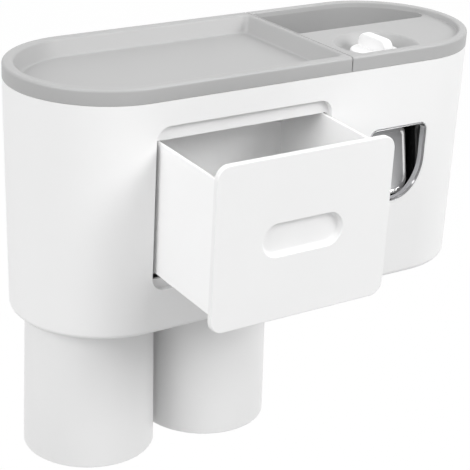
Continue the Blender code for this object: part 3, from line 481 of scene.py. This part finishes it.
def make_housing():
    bottom_r = END_R - DRAFT * (HOUSING_TOP - HOUSING_BOTTOM)
    inside = HOUSING_BOTTOM + FLOOR
    fillet, fillet_middle, edge = 2 * MM, 0.6 * MM, 0.15 * MM
    rings = [
        at_height(stadium(bottom_r - WALL - fillet), inside),
        at_height(stadium(bottom_r - WALL - fillet_middle), inside + fillet_middle),
        at_height(stadium(bottom_r - WALL), inside + fillet),
        at_height(stadium(END_R - WALL), HOUSING_TOP),
        at_height(stadium(END_R - edge), HOUSING_TOP),
        at_height(stadium(END_R), HOUSING_TOP - edge),
    ]
    steps = 10
    for i in range(steps + 1):
        angle = math.pi / 2 * i / steps
        inset = FOOT_R * (1 - math.cos(angle))
        rings.append(at_height(stadium(bottom_r - inset), HOUSING_BOTTOM + FOOT_R * (1 - math.sin(angle))))
    housing = lofted("housing_shell", rings)
    border = 3.6 * MM
    frame_block = growing(((border, 1 * MM), (border, PANEL_T + 2 * MM)), recess_outline)
    join(housing, lofted("recess_frame", frame_block))
    lip = 0.45 * MM
    flare = [(lip, OUTSIDE)] + quarter_round(lip, TURN)
    cut(housing, lofted("recess_cutter", growing(flare + [(0, PANEL_T + GAP)], recess_outline)))
    cut(housing, lofted("mouth_cutter", growing(((0, 1 * MM), (0, 12 * MM)), mouth_outline)))
    edge = 0.25 * MM
    levels = ((edge, OUTSIDE), (edge, 0), (0, edge), (0, 4 * MM))
    window = [at_depth(window_outline(-grow), depth) for grow, depth in levels]
    cut(housing, lofted("window_cutter", window))
    for sign in (-1, 1):
        x = (sign * HOOK_X - HOOK_W / 2 - 2 * GAP, sign * HOOK_X + HOOK_W / 2 + 2 * GAP)
        y, z = (END_R - 6 * MM, END_R + 2 * MM), (HOOK_TOP - 9.8 * MM, HOOK_TOP + GAP)
        cut(housing, box("slot", x, y, z))
    feet = CRADLE_FEET + SQUEEZER_FEET
    boss_top = -122 * MM
    join(housing, posts("bosses", feet, 3.4 * MM, HOUSING_BOTTOM + FLOOR / 2, boss_top))
    cut(housing, posts("boss_holes", feet, 1.5 * MM, inside, boss_top + 1 * MM, 12))
    bm = bmesh.new()
    low, top = HOUSING_BOTTOM + FLOOR / 2, inside + 5 * MM
    inner, outer = MAGNET_R + 2 * GAP, MAGNET_R + 2.6 * MM
    profile = ((outer, low), (outer, top), (inner, top), (inner, low))
    for x in CUP_X.values():
        loft(bm, [at_height(circle(x, 0, r, 48), z) for r, z in profile], closed=True)
    join(housing, new_object("magnet_rings", bm))
    dress(settle(housing, flat=True), WHITE, "housing", "housing")


# Tray and deck


def rim_rings(path, side, flats, corners):
    """Rings of a cover whose flat end and corners follow the round end's inset."""
    flat = SPLIT_X + side * SPLIT_GAP
    rings = []
    for inset, z in path:
        x = flat + side * between(inset, *flats)
        rings.append(at_height(half_plan(END_R - inset, x, between(inset, *corners), side), z))
    return rings


def scaled(table):
    return tuple([value * MM for value in row] for row in table)


def make_tray():
    profile = (
        (9.9, -9.3, 0), (8.6, -9.3, 1.6), (5.7, -0.4, 1.5), (4.2, 0, 1.6), (0.0, 0, 1.5),
        (0.0, -8.0, 0.25), (2.9, -8.0, 0), (2.9, -8.1, 0), (3.4, -13.3, 0), (4.9, -13.3, 0), (4.9, -11.3, 0),
    )
    path = [(u * MM, v * MM) for u, v in rounded_path(profile)]
    flats = scaled(((0, 1.5, 2.9, 4.2, 5.7, 8.6, 9.9), (0, 0.45, 0.7, 0.9, 1.9, 4.7, 5.9)))
    corners = scaled(((0, 1.5, 4.2, 5.7, 9.9), (0.6, 1.0, 3.4, 4.0, 3.4)))
    tray = lofted("tray_cover", rim_rings(path, -1, flats, corners))
    dress(settle(tray, angle=38), GREY, "tray", "tray")


def pocket_outline(radius, left_x, front_y, fillet):
    reach = math.sqrt((radius - fillet) ** 2 - (front_y + fillet) ** 2)
    centre_x = HALF_STRAIGHT + reach
    meet = math.degrees(math.atan2(front_y + fillet, reach))
    points = arc(centre_x, front_y + fillet, fillet, -90, meet, 14)
    points += arc(HALF_STRAIGHT, 0, radius, meet, 90, 48)[1:]
    corner = 2 * MM
    points += arc(left_x + corner, radius - corner, corner, 90, 180, 8)
    points += arc(left_x + corner, front_y + corner, corner, 180, 270, 8)
    return points


def dish_ring(radius, front_limit, z):
    return [(x, max(y, front_limit), z) for x, y in circle(INLET.x, INLET.y, radius)]


def make_deck():
    inner_r = END_R - 4.7 * MM
    profile = (
        (5.3, -3.0, 0), (4.95, -3.0, 0.35), (4.5, -0.4, 0.9), (3.6, 0, 1.0), (0.0, 0, 1.5),
        (0.0, -8.0, 0.25), (2.9, -8.0, 0), (2.9, -8.1, 0), (3.4, -13.3, 0), (4.9, -13.3, 0), (4.9, -5.0, 0),
    )
    path = [(u * MM, v * MM) for u, v in rounded_path(profile)]
    flats = scaled(((0, 1.5, 2.9, 3.6, 4.5, 5.3), (0, 0.4, 0.5, 0.6, 1.15, 1.6)))
    corners = scaled(((0, 1.5, 3.6, 5.3), (0.6, 1.2, 1.8, 2.0)))
    deck = lofted("deck_cover", rim_rings(path, 1, flats, corners))
    front_y, fillet, wall, edge = 8.2 * MM, 5 * MM, 1.4 * MM, 0.5 * MM
    left_x = SPLIT_X + SPLIT_GAP + 1.7 * MM
    rim_wall = scaled(((-62, -3, -0.4, 0.5), (43.55, 44.73, 45.18, 45.3)))

    def pocket(name, levels):
        rings = []
        for grow, z in levels:
            radius = between(z, *rim_wall) + (grow if grow > edge else min(grow, 0))
            rings.append(at_height(pocket_outline(radius, left_x - grow, front_y - grow, fillet + grow), z))
        return lofted(name, rings)

    def dish(name, levels, front_limit):
        return lofted(name, [dish_ring(radius, front_limit, z) for radius, z in levels])

    brow_r, bends = 1.8 * MM, (0.12, 0.3, 0.48, 0.66, 0.84, 1.0)
    brow = [(DISH_R - brow_r * math.sin(a), DECK_Z - brow_r * (1 - math.cos(a))) for a in bends]
    toe = rounded_path(((22.08, -3.83, 0), (18.0, -9.8, 3.4), (13.0, -9.8, 0)))[1:]
    slope = [(brow[0][0], -2 * MM)] + brow + [(radius * MM, z * MM) for radius, z in toe]
    dish_t = 1.8 * MM
    shell = (
        (DISH_R + dish_t, -3.6 * MM), (DISH_R + 0.4 * MM, -5.4 * MM),
        (DISH_R - 4.2 * MM, DISH_FLOOR - 2 * MM),
    )
    front_limit = -inner_r + 0.7 * MM
    join(deck, pocket("pocket_shell", ((wall, -3.7 * MM), (wall, POCKET_BOTTOM - wall))))
    join(deck, dish("dish_shell", shell, front_limit - 1.3 * MM))
    lip = [(inset, DECK_Z - drop) for inset, drop in quarter_round(edge, COARSE_TURN)]
    foot = [(-drop, POCKET_BOTTOM + inset) for inset, drop in quarter_round(1.5 * MM, COARSE_TURN)]
    cut(deck, pocket("pocket_cutter", [(edge, -1.0 * MM)] + lip + foot))
    cut(deck, dish("dish_cutter", slope, front_limit))
    hole = ((7.5 * MM, DISH_FLOOR + 1 * MM), (7.5 * MM, DISH_FLOOR - 4 * MM))
    cut(deck, turned("inlet_hole", hole, INLET))
    dress(settle(deck, angle=38, flat=True), GREY, "deck", "deck")


def make_plug():
    r, top, bottom = 13.3, -6.5, DISH_FLOOR / MM + 0.3
    stem, tip = 6, -18
    profile = rounded_path((
        (5.2, tip, 0), (stem, tip, 0.8), (stem, bottom, 0), (r, bottom, 0.9), (r, top, 1.1), (5, top, 0),
    ))
    plug = turned("plug_stopper", [(u * MM, v * MM) for u, v in profile], INLET)
    half_w, half_l, height, corner = 3 * MM, 12 * MM, 7.2 * MM, 5 * MM
    low, high = (top - 1) * MM, top * MM + height
    outline = [(INLET.y - half_l, low)]
    outline += arc(INLET.y - half_l + corner, high - corner, corner, 180, 90, 16)
    outline += arc(INLET.y + half_l - corner, high - corner, corner, 90, 0, 16)
    outline.append((INLET.y + half_l, low))
    middle = (low + high) / 2
    rings = []
    steps = 12
    for i in range(steps + 1):
        angle = math.pi * i / steps
        across = -half_w * math.cos(angle)
        scale = 1 - 0.13 * (1 - math.sin(angle)) ** 1.5
        rings.append([
            (INLET.x + across, INLET.y + (y - INLET.y) * scale, middle + (z - middle) * scale)
            for y, z in outline
        ])
    join(plug, lofted("fin", rings))
    dress(settle(plug, angle=50), PLUG_WHITE, "plug", "plug")


# Drawer


def moved(ring):
    return [Vector(point) + SHIFT for point in ring]


def scoop_outline(grow):
    r = SCOOP_HALF_H + grow
    run = SCOOP_HALF_L - SCOOP_HALF_H
    return arc(SCOOP_X + run, SCOOP_Z, r, -90, 90, 28) + arc(SCOOP_X - run, SCOOP_Z, r, 90, 270, 28)


def scoop_pill(name, sections):
    return lofted(name, [moved(ring) for ring in growing(sections, scoop_outline)])


def make_drawer_panel():
    def panel_ring(inset, depth):
        half = PANEL_W / 2 - inset
        outline = rounded_rectangle(
            DRAWER_X - half, DRAWER_X + half, PANEL_BOTTOM + inset, PANEL_TOP - inset, PANEL_R - inset, 14
        )
        return moved(at_depth(outline, depth))

    soft = 0.7 * MM
    rings = [panel_ring(inset, depth) for inset, depth in quarter_round(soft, FINE_TURN)]
    back = 0.3 * MM
    rings += [panel_ring(0, PANEL_T - back), panel_ring(back, PANEL_T)]
    panel = lofted("drawer_panel", rings)
    join(panel, scoop_pill("scoop_boss", ((SCOOP_WALL, PANEL_T - 1 * MM), (SCOOP_WALL, SCOOP_BACK))))
    lip = 0.5 * MM
    sections = [(lip, OUTSIDE)] + quarter_round(lip, TURN)
    sections += scaled(((-0.25, 1.3), (-0.6, 2.3), (-1.2, 2.9), (-2.2, SCOOP_DEPTH / MM)))
    cut(panel, scoop_pill("finger_scoop", sections))
    dress(settle(panel, flat=True), WHITE, "drawer", "drawer_front")


def make_drawer_bin():
    front = wall_y(BOX_TOP) + PANEL_T + GAP + SHIFT.y
    x0, x1 = DRAWER_X - BOX_W / 2, DRAWER_X + BOX_W / 2
    top = BOX_TOP + SHIFT.z
    bottom = top - BOX_H

    def ring(inset, height):
        near = wall_y(height - SHIFT.z) + PANEL_T + GAP + SHIFT.y + inset
        far = front + BOX_LENGTH - inset
        points = rounded_rectangle(x0 + inset, x1 - inset, near, far, max(1.2 * MM - inset, 0.4 * MM), 5)
        return [(x, y, height + (y - front) * DIP) for x, y in points]

    edge, corner = 0.25 * MM, 0.6 * MM
    rings = [
        ring(BOX_WALL + 0.8 * MM, bottom + BOX_WALL),
        ring(BOX_WALL + 0.2 * MM, bottom + BOX_WALL + 0.25 * MM),
        ring(BOX_WALL, bottom + BOX_WALL + 0.9 * MM),
        ring(BOX_WALL, top - edge),
        ring(BOX_WALL - edge, top),
        ring(edge, top),
        ring(0, top - edge),
        ring(0, bottom + corner),
        ring(corner / 3, bottom + corner / 3),
        ring(corner, bottom),
    ]
    drawer = lofted("drawer_bin", rings)
    cut(drawer, scoop_pill("boss_hole", ((SCOOP_WALL + GAP, 1 * MM), (SCOOP_WALL + GAP, 10 * MM))))
    lug_y = front + STOP_LUG_Y
    for x in ((x0, x0 + BOX_WALL), (x1 - BOX_WALL, x1)):
        z = top + (lug_y - front) * DIP
        join(drawer, box("lug", x, (lug_y, lug_y + 3 * MM), (z - 2 * MM, z + 2.6 * MM)))
    dress(settle(drawer, flat=True), BIN_WHITE, "drawer", "drawer_box")


# Squeezer


def make_bezel():
    behind = WALL + GAP
    bezel = scaled((
        (1.3, 3.5), (1.3, 0.5), (0.85, -0.15), (0.72, -0.38), (0.62, -0.47),
        (0.5, -0.5), (0.38, -0.42), (0.3, -0.15), (0.3, 3.5),
    ))
    rings = [at_depth(window_outline(inset), depth) for inset, depth in bezel]
    ring = lofted("bezel_ring", rings, closed=True)
    dress(settle(ring, angle=24), CHROME, "housing", "window_bezel")
    # Faces within this depth of the wall, the outer lip, take the darker chrome: a painted dark reflection.
    dark_reflection_depth = 0.4 * MM
    second_material(ring, DARK_REFLECTION_CHROME, lambda at: at.y - wall_y(at.z) < dark_reflection_depth)
    outer, flange = 1.2 * MM, 2.6 * MM
    liner = (
        (0, behind), (0, TUNNEL_DEPTH), (outer, TUNNEL_DEPTH), (outer, behind + 1.4 * MM),
        (flange, behind + 1.4 * MM), (flange, behind),
    )
    body = lofted("liner_tunnel", growing(liner, cavity_outline), closed=True)
    hole = ((3.3 * MM, CAVITY_TOP - 4 * MM), (3.3 * MM, CAVITY_TOP + 3 * MM))
    cut(body, turned("nozzle_hole", hole, (WINDOW_X, -41 * MM), steps=32))
    dress(settle(body), BLACK, "housing", "window_liner")


def make_push_plate():
    centre_z = (PLATE_TOP + PLATE_BOTTOM) / 2
    face_depth = 3.05
    levels = (
        (0.12, face_depth), (0.3, 2.95), (0.5, 2.6), (0.65, 2.05), (0.78, 1.3), (0.88, 0.5), (0.93, 0.12),
        (0.965, 0.0), (0.99, 0.12), (1.0, 0.5), (1.0, 2.0), (0.95, 3.1), (0.86, 4.2), (0.7, 5.4), (0.5, 6.3),
        (0.25, 6.9),
    )
    base = squeezer_outline(PLATE_HALF, PLATE_TOP, PLATE_BOTTOM, 3 * MM, 8.5 * MM)

    def ring(scale, depth):
        points = []
        for x, z in base:
            height = centre_z + (z - centre_z) * scale
            lean = PLATE_LEAN * (height - centre_z)
            points.append((WINDOW_X + (x - WINDOW_X) * scale, PLATE_Y + lean + depth * MM, height))
        return points

    plate = lofted("plate_push", [ring(*level) for level in levels])
    foot = PLATE_TOP - 3.5 * MM
    arm = [(PIVOT.y - 1 * MM, foot), (PIVOT.y + 0.6 * MM, foot)]
    arm += [(PIVOT.y + 0.6 * MM, PIVOT.z), (PIVOT.y - 1.2 * MM, PIVOT.z)]
    join(plate, side_prism("arm", arm, (WINDOW_X - 13 * MM, WINDOW_X + 13 * MM)))
    half, barrel_r = 18 * MM, 3.2 * MM
    barrel = ((barrel_r, WINDOW_X - half), (barrel_r, WINDOW_X + half))
    join(plate, turned("barrel", barrel, (PIVOT.y, PIVOT.z), axis="X", steps=40))
    bore = ((PIN_R + GAP, WINDOW_X - half - 1 * MM), (PIN_R + GAP, WINDOW_X + half + 1 * MM))
    cut(plate, turned("bore", bore, (PIVOT.y, PIVOT.z), axis="X", steps=28))
    # The whole plate takes the brightened white, a painted highlight that shows on its rim.
    dress(settle(plate, flat=True), HIGHLIGHT_PAINTED_WHITE, "push_plate", "push_plate")
    rim = 2.7 * MM

    def in_painted_shade(at):
        depth = at.y - PLATE_Y - PLATE_LEAN * (at.z - centre_z)
        in_front = depth < (face_depth + 0.05) * MM and abs(at.x - WINDOW_X) < PLATE_HALF - rim
        return in_front and PLATE_BOTTOM + rim < at.z < PLATE_TOP

    # The dished face inside the rim turns grey: painted shade.
    second_material(plate, SHADE_PAINTED_GREY, in_painted_shade)


def make_spring():
    """The return spring, which the piston presses flatter against the pump's rear wall."""
    wire, coil_r, turns, per_turn, sides = 0.5 * MM, 6.2 * MM, 5, 36, 10
    start, end = -16.2 * MM, -2.7 * MM
    rings = []
    for i in range(turns * per_turn + 1):
        angle = 2 * math.pi * i / per_turn
        outward = Vector((math.cos(angle), 0, math.sin(angle)))
        along = (end - start) * i / (turns * per_turn)
        centre = Vector((WINDOW_X, start + along, PUMP_Z)) + outward * coil_r
        rings.append([centre + outward * u + Vector((0, v, 0)) for u, v in circle(0, 0, wire, sides)])
    spring = lofted("spring_coil", rings)
    dress(settle(spring, angle=50), STEEL, "housing", "return_spring")
    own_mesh(spring)


# Cups


def make_cups():
    pocket_r, pocket_d, skin, base_t = MAGNET_R + GAP, 4.5, 1.3, 2.2
    boss = MAGNET_R + 2.4 * MM
    base, mouth = CUP_BASE / MM, CUP_MOUTH / MM
    base_r, mouth_r, wall = CUP_BASE_R / MM, CUP_MOUTH_R / MM, CUP_WALL / MM
    profile = rounded_path((
        (pocket_r / MM, base - pocket_d, 0), (pocket_r / MM, base, 0), (base_r, base, 2.0),
        (mouth_r, mouth, 0.7), (mouth_r - wall, mouth, 0.7),
        (base_r - wall, base - base_t, 3.0), (boss / MM, base - base_t, 0.6),
        (boss / MM, base - pocket_d - skin, 0.6), (boss / MM - 2, base - pocket_d - skin, 0),
    ), 8)
    for side, x in CUP_X.items():
        cup = turned(f"cup_{side}_body", [(u * MM, v * MM) for u, v in profile], (x, 0), steps=128)
        dress(settle(cup, angle=45), CUP_WHITE, f"cup_{side}", f"cup_{side}")


# Wall mount


def make_mount():
    def slab(name, inset, near, far):
        x, z = PLATE_W / 2 - inset, PLATE_H / 2 - inset
        outline = rounded_rectangle(-x, x, MOUNT_MIDDLE - z, MOUNT_MIDDLE + z, 6 * MM - inset)
        return lofted(name, [[(x, y, z) for x, z in outline] for y in (near, far)])

    pad = slab("foam_pad", 2 * MM, WALL_Y - PAD_T, WALL_Y)
    dress(settle(pad), FOAM, "wall_mount", "adhesive_pad")
    front = WALL_Y - PLATE_FRONT
    base = slab("mount_plate", 0, front, WALL_Y - PAD_T - GAP)
    for sign in (-1, 1):
        x = (sign * HOOK_X - HOOK_W / 2, sign * HOOK_X + HOOK_W / 2)
        tip, root = front - 5.4 * MM, front + 0.5 * MM
        low, high = HOOK_TOP - 3 * MM, HOOK_TOP + 5 * MM
        behind = tip + 2 * MM
        outline = [(root, low), (tip, low), (tip, high), (behind, high), (behind, HOOK_TOP), (root, HOOK_TOP)]
        join(base, side_prism("hook", outline, x))
    dress(settle(base, bevel=0.25 * MM), MILKY, "wall_mount", "wall_plate")
    back = (-wall_y(BUMPER_Z) + GAP) / MM
    reach = WALL_Y / MM - 0.4
    path = rounded_path(((6, back, 0), (6, reach, 1.2), (2, reach, 0)), 6)
    profile = [(u * MM, v * MM) for u, v in path]
    for side, x in BUMPER_X.items():
        foot = turned(f"bumper_{side}_pad", profile, (x, BUMPER_Z), axis="Y", steps=48)
        dress(settle(foot), RUBBER, "housing", f"bumper_{side}")


# Inner CAD pieces keep their shapes and take these finishes

FINISHES = {
    STEEL: ["cradle_screw_1", "cradle_screw_2", "cradle_screw_3", "cradle_screw_4", "squeezer_screw_1",
            "squeezer_screw_2", "squeezer_screw_3", "squeezer_screw_4", "hinge_pin", "pin_clip",
            "cup_magnet_left", "cup_magnet_right", "housing_magnet_left", "housing_magnet_right"],
    BIN_WHITE: ["drawer_cradle", "magnet_retainer_left", "magnet_retainer_right"],
    CUP_WHITE: ["cup_magnet_cap_left", "cup_magnet_cap_right"],
    BLACK: ["squeezer_body", "piston"],
    RUBBER: ["piston_seal"],
    MILKY: ["pump_cylinder"],
    SILICONE: ["inlet_socket", "check_valve", "feed_hose", "outlet_nozzle"],
}


def finish_inner_pieces():
    for material, names in FINISHES.items():
        for name in names:
            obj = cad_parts[name]
            obj.data.materials.clear()
            obj.data.materials.append(material)


# Stage

CAMERA_PLACE = (-0.4446, -0.6984, 0.2679)
CAMERA_TURN = (-34.4261, 22.5852, 2.5612)  # azimuth, elevation and roll, in degrees
LENS, SENSOR = 118.68, 36
LIGHT_TARGET = (0, -0.053, -0.02)
LIGHTS = (  # name, place, size and power
    ("key", (0.9, -1.44, 1.1), 0.9, 22),
    ("fill", (-1.75, -0.5, 0.9), 1.2, 19),
    ("top", (0.0, 0.1, 1.8), 1.3, 5),
)


def background_rays(nodes, links):
    """1 for what the camera sees, also in a mirror or through glass, and 0 for the rest."""
    path = nodes.new("ShaderNodeLightPath")
    mirrored = nodes.new("ShaderNodeMath")
    mirrored.operation = "MAXIMUM"
    links.new(path.outputs["Is Camera Ray"], mirrored.inputs[0])
    links.new(path.outputs["Is Glossy Ray"], mirrored.inputs[1])
    passed = nodes.new("ShaderNodeMath")
    passed.operation = "MAXIMUM"
    links.new(mirrored.outputs["Value"], passed.inputs[0])
    links.new(path.outputs["Is Transmission Ray"], passed.inputs[1])
    return passed.outputs["Value"]


def make_stage():
    """A floor that shows white where nothing shades it, and keeps a trace of the object's shadow."""
    floor_z, width, shown = -0.42, 14, 0.94
    bpy.ops.mesh.primitive_grid_add(x_subdivisions=8, y_subdivisions=8, size=width, location=(0, 0, floor_z))
    floor = bpy.context.object
    floor.name = "floor"
    material = plastic("pale_floor", (0.4, 0.4, 0.4), 0.8, grain=60, bump=0.0, spread=0.004)
    nodes, links = material.node_tree.nodes, material.node_tree.links
    glow = nodes.new("ShaderNodeEmission")
    glow.inputs["Strength"].default_value = 1.035
    mix = nodes.new("ShaderNodeMixShader")
    seen = nodes.new("ShaderNodeMath")
    seen.operation = "MULTIPLY"
    seen.inputs[1].default_value = shown
    links.new(background_rays(nodes, links), seen.inputs[0])
    links.new(seen.outputs["Value"], mix.inputs["Fac"])
    links.new(nodes["Principled BSDF"].outputs["BSDF"], mix.inputs[1])
    links.new(glow.outputs["Emission"], mix.inputs[2])
    links.new(mix.outputs["Shader"], nodes["Material Output"].inputs["Surface"])
    floor.data.materials.append(material)


def area_light(name, place, size, power):
    data = bpy.data.lights.new(name, "AREA")
    data.shape = "RECTANGLE"
    data.size = size
    data.size_y = size
    data.energy = power
    light = bpy.data.objects.new(name, data)
    light.location = place
    direction = Vector(LIGHT_TARGET) - Vector(place)
    light.rotation_euler = direction.to_track_quat("-Z", "Y").to_euler()
    bpy.context.scene.collection.objects.link(light)


def make_world():
    """White to the camera, mirrors and glass; a softer, uneven studio to everything else."""
    world = bpy.data.worlds.new("studio")
    bpy.context.scene.world = world
    world.use_nodes = True
    nodes, links = world.node_tree.nodes, world.node_tree.links
    nodes.clear()
    out = nodes.new("ShaderNodeOutputWorld")
    mix = nodes.new("ShaderNodeMixShader")
    seen = nodes.new("ShaderNodeBackground")
    seen.inputs["Color"].default_value = (1, 1, 1, 1)
    seen.inputs["Strength"].default_value = 1.0
    lit = nodes.new("ShaderNodeBackground")
    lit.inputs["Strength"].default_value = 0.77
    place = nodes.new("ShaderNodeTexCoord")
    split = nodes.new("ShaderNodeSeparateXYZ")
    links.new(place.outputs["Generated"], split.inputs["Vector"])
    ramp = nodes.new("ShaderNodeValToRGB")
    ramp.color_ramp.elements[0].position = 0.0
    ramp.color_ramp.elements[0].color = (0.62, 0.62, 0.62, 1)
    ramp.color_ramp.elements[1].position = 1.0
    ramp.color_ramp.elements[1].color = (1, 1, 1, 1)
    links.new(split.outputs["Z"], ramp.inputs["Fac"])
    links.new(ramp.outputs["Color"], lit.inputs["Color"])
    links.new(background_rays(nodes, links), mix.inputs["Fac"])
    links.new(lit.outputs["Background"], mix.inputs[1])
    links.new(seen.outputs["Background"], mix.inputs[2])
    links.new(mix.outputs["Shader"], out.inputs["Surface"])


def make_camera():
    eye = Vector(CAMERA_PLACE)
    azimuth, elevation, roll = (math.radians(a) for a in CAMERA_TURN)
    level = math.cos(elevation)
    back = Vector((math.sin(azimuth) * level, -math.cos(azimuth) * level, math.sin(elevation)))
    right = Vector((0, 0, 1)).cross(back).normalized()
    up = back.cross(right)
    x = right * math.cos(roll) + up * math.sin(roll)
    y = up * math.cos(roll) - right * math.sin(roll)
    data = bpy.data.cameras.new("camera")
    data.lens = LENS
    data.sensor_width = SENSOR
    data.clip_start = 0.01
    camera = bpy.data.objects.new("camera", data)
    camera.matrix_world = Matrix((
        (x.x, y.x, back.x, eye.x), (x.y, y.y, back.y, eye.y), (x.z, y.z, back.z, eye.z), (0, 0, 0, 1),
    ))
    bpy.context.scene.collection.objects.link(camera)
    bpy.context.scene.camera = camera


make_camera()
make_housing()
make_tray()
make_deck()
make_plug()
make_drawer_panel()
make_drawer_bin()
make_bezel()
make_push_plate()
make_spring()
make_cups()
make_mount()
finish_inner_pieces()
make_stage()
make_world()
for light in LIGHTS:
    area_light(*light)
view = bpy.context.scene.view_settings
view.view_transform = "Standard"
view.look = "None"
